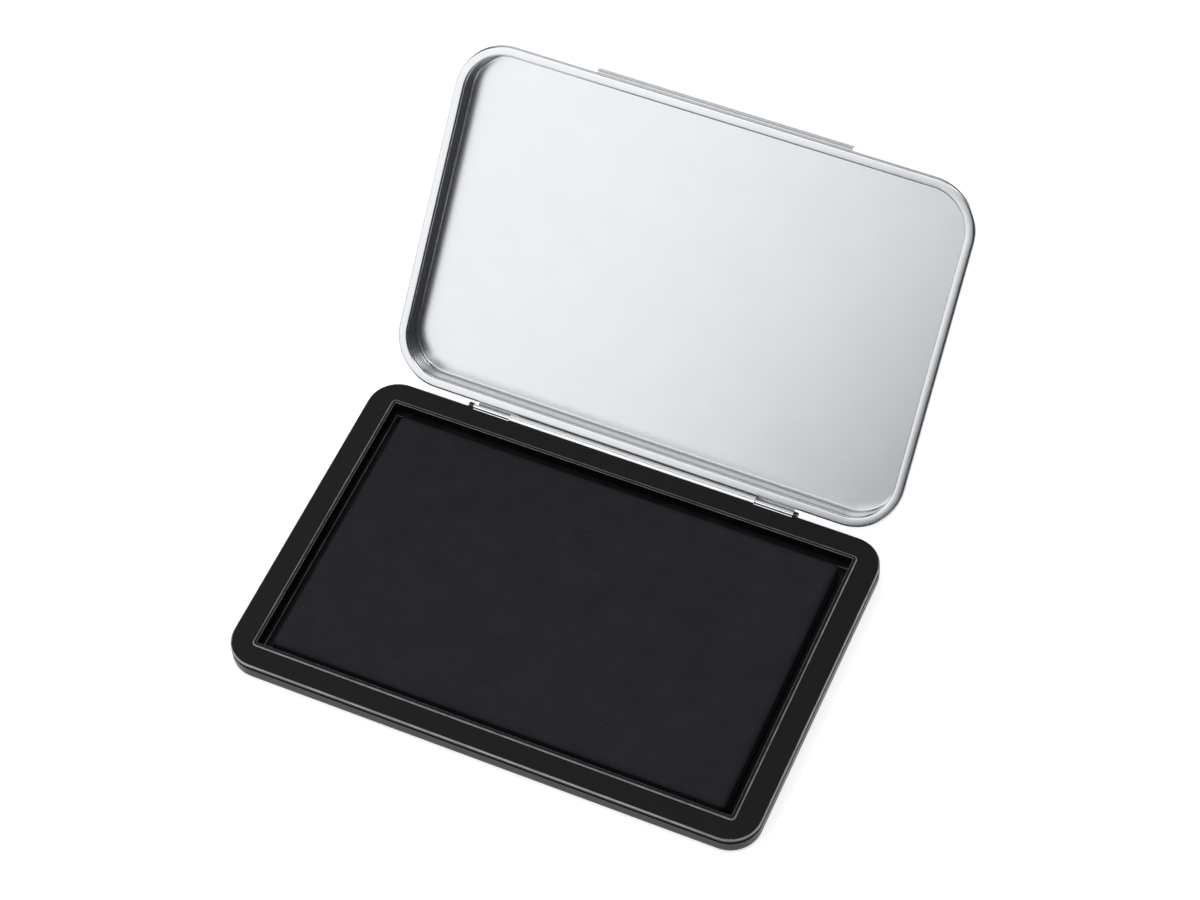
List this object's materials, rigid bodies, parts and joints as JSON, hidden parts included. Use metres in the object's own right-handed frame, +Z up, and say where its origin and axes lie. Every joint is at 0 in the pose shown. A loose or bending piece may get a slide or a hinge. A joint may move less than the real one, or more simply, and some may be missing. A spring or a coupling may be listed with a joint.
{
  "type": "hinged-lid stamp pad",
  "caption": "Flat ink pad in a black framed pan, with a pressed tinplate lid that turns on a hinge wire along the back edge and closes over the pad.",
  "frame": {"origin": "centre of the base pan's flat underside", "axes": "+Z up from the surface the pad stands on, +Y from the front edge to the hinge edge, +X to the right with the hinge at the back"},
  "size_m": [0.138, 0.154, 0.0733],
  "materials": {
    "lacquered_pan": "satin",
    "black_frame": "satin",
    "ink_tray": "satin",
    "board": "matte",
    "felt": "matte",
    "inked_cloth": "matte",
    "hinge_wire": "bright",
    "tinplate": "satin",
    "tinplate_strap": "satin"
  },
  "bodies": {
    "base": {"base_pan": "lacquered_pan", "top_frame": "black_frame", "ink_tray": "ink_tray", "pad_board": "board", "ink_felt": "felt", "pad_cloth": "inked_cloth", "hinge_wire": "hinge_wire"},
    "lid": {"lid_shell": "tinplate", "hinge_strap": "tinplate_strap", "thumb_lip": "tinplate_strap"}
  },
  "joints": [
    {"name": "lid_hinge", "type": "hinge", "parent": "base", "child": "lid", "pos_m": [0, 0.0456, 0.0058], "axis": [1, 0, 0], "range_deg": [0, 131]}
  ]
}
